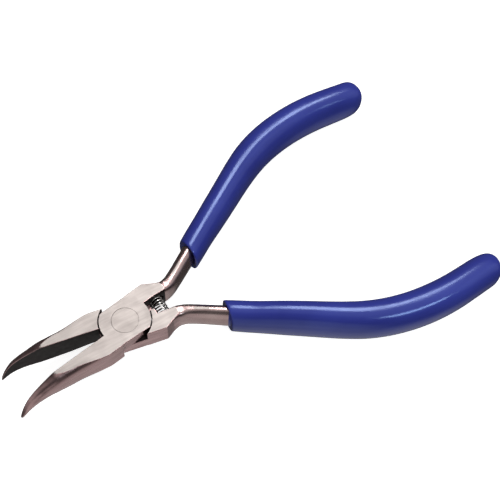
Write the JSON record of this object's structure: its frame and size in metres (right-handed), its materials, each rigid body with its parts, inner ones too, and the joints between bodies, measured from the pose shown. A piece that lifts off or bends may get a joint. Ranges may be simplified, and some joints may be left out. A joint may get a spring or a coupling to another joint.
{
  "type": "needle-nose pliers",
  "caption": "Small needle-nose pliers with bent tips, a riveted lap joint, a coil return spring and smooth dipped handle sleeves.",
  "frame": {"origin": "centre of the flush rivet's top face, on the pivot axis", "axes": "+X from the pivot along the middle line between the handles, +Y towards the front half's handle, +Z along the pivot axis, away from the side that the tips bend to"},
  "size_m": [0.1141, 0.069, 0.012],
  "materials": {
    "ground_steel": "ground flats, polished tangs, warm grey",
    "rivet_steel": "ground flush with the joint",
    "spring_wire": "drawn wire, dark",
    "dipped_vinyl": "glossy deep blue dip"
  },
  "bodies": {
    "rear_side": {"rear_half": "ground_steel", "rear_grip": "dipped_vinyl", "pivot_rivet": "rivet_steel", "return_spring": "spring_wire"},
    "front_side": {"front_half": "ground_steel", "front_grip": "dipped_vinyl"}
  },
  "joints": [
    {"name": "pivot", "type": "hinge", "parent": "rear_side", "child": "front_side", "pos_m": [0, 0, -0.0031], "axis": [0, 0, 1], "range_deg": [-19.4, 12], "stiffness_Nm_per_rad": 0.25, "deforming": ["return_spring"]}
  ]
}
